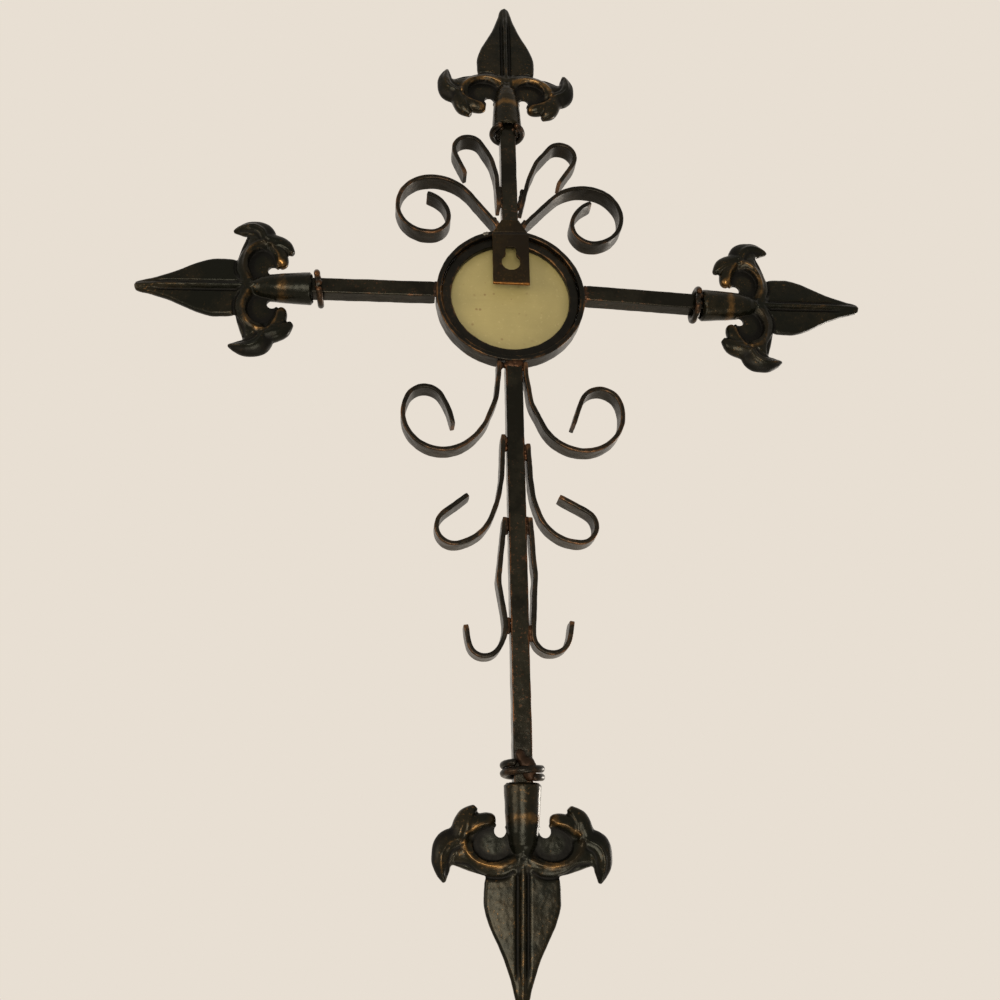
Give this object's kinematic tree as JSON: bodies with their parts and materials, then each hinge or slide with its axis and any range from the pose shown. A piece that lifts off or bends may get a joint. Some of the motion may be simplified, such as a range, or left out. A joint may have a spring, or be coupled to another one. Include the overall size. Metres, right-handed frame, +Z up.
{
  "type": "wrought iron wall cross",
  "caption": "Tall wrought iron hanging cross with a round mirror in a ring at its crossing, square bars, spear-shaped leaf finials and paired forged scrolls.",
  "frame": {"origin": "top of the hanger plate's keyhole slot, in the plane of the plate's wall face, where the shank of the screw carries the cross", "axes": "+Z up along the long upright, -Y towards the wall that the cross hangs on (the side with the keyhole plate), +Y into the room, +X to the right as seen from the wall side"},
  "size_m": [0.3661, 0.0192, 0.5084],
  "materials": {
    "ring_iron": "forged, dark patina with worn edges",
    "bar_iron": "square bar, dark greenish patina, coppery worn edges",
    "finial_iron": "cast and hand finished, dark patina, bronze highlights",
    "scroll_iron": "forged flat strip, dark patina",
    "collar_iron": "wire, dark patina, weld at its ends",
    "plate_iron": "sheet, dark patina, coppery worn edges",
    "mirror_glass": "silvered glass with a khaki painted back"
  },
  "bodies": {
    "root": {"bar_bottom": "bar_iron", "bar_left": "bar_iron", "bar_right": "bar_iron", "bar_top": "bar_iron", "collar_bottom": "collar_iron", "collar_left": "collar_iron", "collar_right": "collar_iron", "collar_top": "collar_iron", "finial_bottom": "finial_iron", "finial_left": "finial_iron", "finial_right": "finial_iron", "finial_top": "finial_iron", "hanger_plate": "plate_iron", "mirror": "mirror_glass", "retaining_ring": "ring_iron", "ring": "ring_iron", "scroll_lower_hook_left": "scroll_iron", "scroll_lower_hook_right": "scroll_iron", "scroll_lower_mid_left": "scroll_iron", "scroll_lower_mid_right": "scroll_iron", "scroll_lower_top_left": "scroll_iron", "scroll_lower_top_right": "scroll_iron", "scroll_upper_inner_left": "scroll_iron", "scroll_upper_inner_right": "scroll_iron", "scroll_upper_outer_left": "scroll_iron", "scroll_upper_outer_right": "scroll_iron"}
  },
  "joints": []
}
